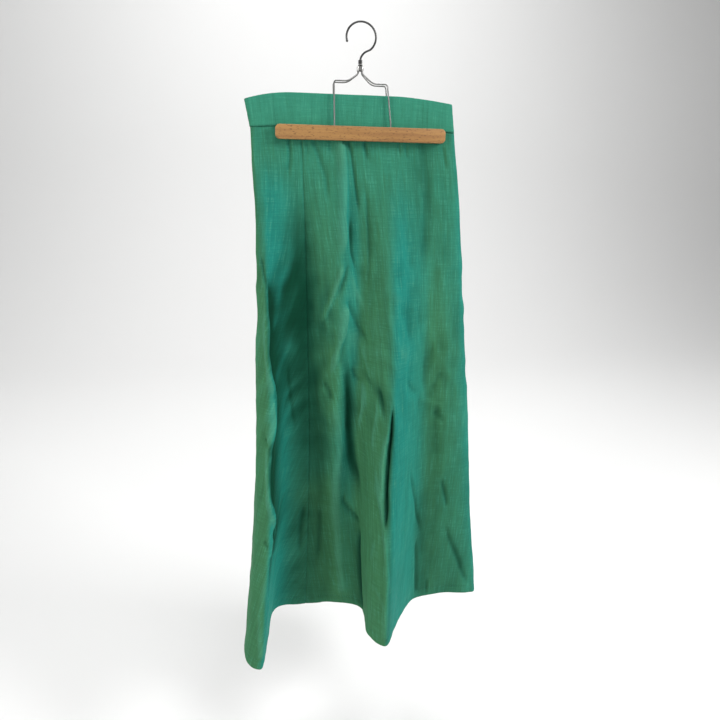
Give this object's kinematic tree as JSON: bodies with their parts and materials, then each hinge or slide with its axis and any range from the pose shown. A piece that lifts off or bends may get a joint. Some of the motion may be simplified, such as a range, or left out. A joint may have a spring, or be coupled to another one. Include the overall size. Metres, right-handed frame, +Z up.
{
  "type": "maxi skirt on a clamp hanger",
  "caption": "Long A-line skirt of shot linen, lightly gathered to a plain waistband, hanging flat from a wooden clamp hanger with a wire hook.",
  "frame": {"origin": "where the inner top of the hook's round bears on its rail", "axes": "+Z up, +X to the wearer's side that lies right of the front view, -Y towards the front of the hanging garment"},
  "size_m": [0.454, 0.3041, 1.1005],
  "materials": {
    "linen": "cross-dyed plain-weave linen, green with teal and olive casts, slubby and creased",
    "linen_band": "the same linen, two layers, grain running along the band",
    "zip_tape": "woven zip tape, dark green",
    "zip_metal": "painted tab",
    "wood": "waxed beech, satin, fine grain along the bar",
    "steel_wire": "bright drawn wire",
    "steel_collar": "bright pressed collar",
    "dark_steel": "dull dark steel wire"
  },
  "bodies": {
    "root": {"waistband": "linen_band", "front_panel": "linen", "back_panel": "linen", "zip_tape": "zip_tape", "zip_tab": "zip_metal", "bar_front": "wood", "bar_back": "wood", "frame_front": "steel_wire", "frame_back": "steel_wire", "collar": "steel_collar", "hook": "dark_steel"}
  },
  "joints": []
}
